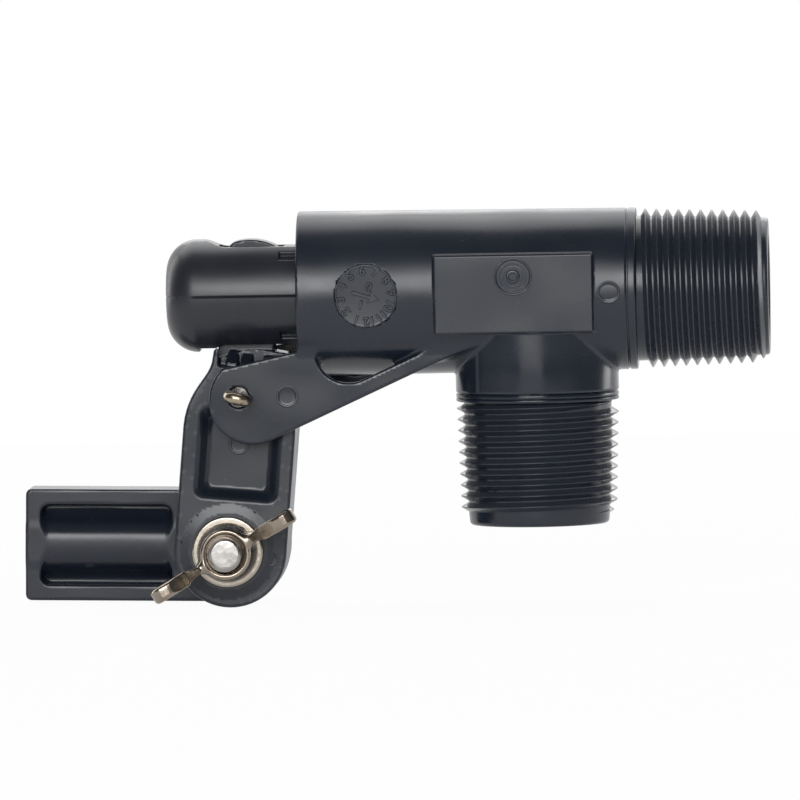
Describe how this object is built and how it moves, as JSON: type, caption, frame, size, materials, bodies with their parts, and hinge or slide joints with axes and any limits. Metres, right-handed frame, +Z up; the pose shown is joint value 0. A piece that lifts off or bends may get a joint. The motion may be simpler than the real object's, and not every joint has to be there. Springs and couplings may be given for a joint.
{
  "type": "float valve",
  "caption": "Plastic float valve: threaded tee body, sliding plunger with rubber seal, pinned lever, and a rod holder clamped by a wing nut.",
  "frame": {"origin": "centre of the inlet's threaded end face, on the barrel's axis", "axes": "+X out of the inlet along the barrel, +Z up, -Y towards the wing nut; the outlet points along -Z"},
  "size_m": [0.1248, 0.0434, 0.0651],
  "materials": {
    "body_pvc": "satin moulded",
    "plunger_pvc": "satin moulded",
    "lever_pvc": "satin moulded",
    "seal_rubber": "matt",
    "stainless": "tumbled"
  },
  "bodies": {
    "valve_body": {"valve_body": "body_pvc", "seat_nozzle": "body_pvc", "pivot_cotter_pin": "stainless"},
    "plunger": {"plunger": "plunger_pvc", "plunger_o_ring": "seal_rubber", "seal_disc": "seal_rubber", "seal_screw": "stainless"},
    "lever": {"lever": "lever_pvc", "clamp_washer": "stainless"},
    "rod_holder": {"rod_holder": "lever_pvc", "clamp_bolt": "stainless"},
    "wing_nut": {"wing_nut": "stainless"}
  },
  "joints": [
    {"name": "lever_pivot", "type": "hinge", "parent": "valve_body", "child": "lever", "pos_m": [-0.0877, 0, -0.0165], "axis": [0, 1, 0], "range_deg": [0, 17]},
    {"name": "plunger_slide", "type": "slide", "parent": "valve_body", "child": "plunger", "axis": [1, 0, 0], "range_m": [0, 0.00474]},
    {"name": "rod_holder_hinge", "type": "hinge", "parent": "lever", "child": "rod_holder", "pos_m": [-0.09005, 0, -0.04209], "axis": [0, 1, 0], "range_deg": [-90, 50]},
    {"name": "wing_nut_spin", "type": "hinge", "parent": "rod_holder", "child": "wing_nut", "pos_m": [-0.09005, 0, -0.04209], "axis": [0, 1, 0], "continuous": true}
  ],
  "couplings": [
    {"joint": "plunger_slide", "follows": "lever_pivot", "m_per_rad": 0.015977}
  ]
}
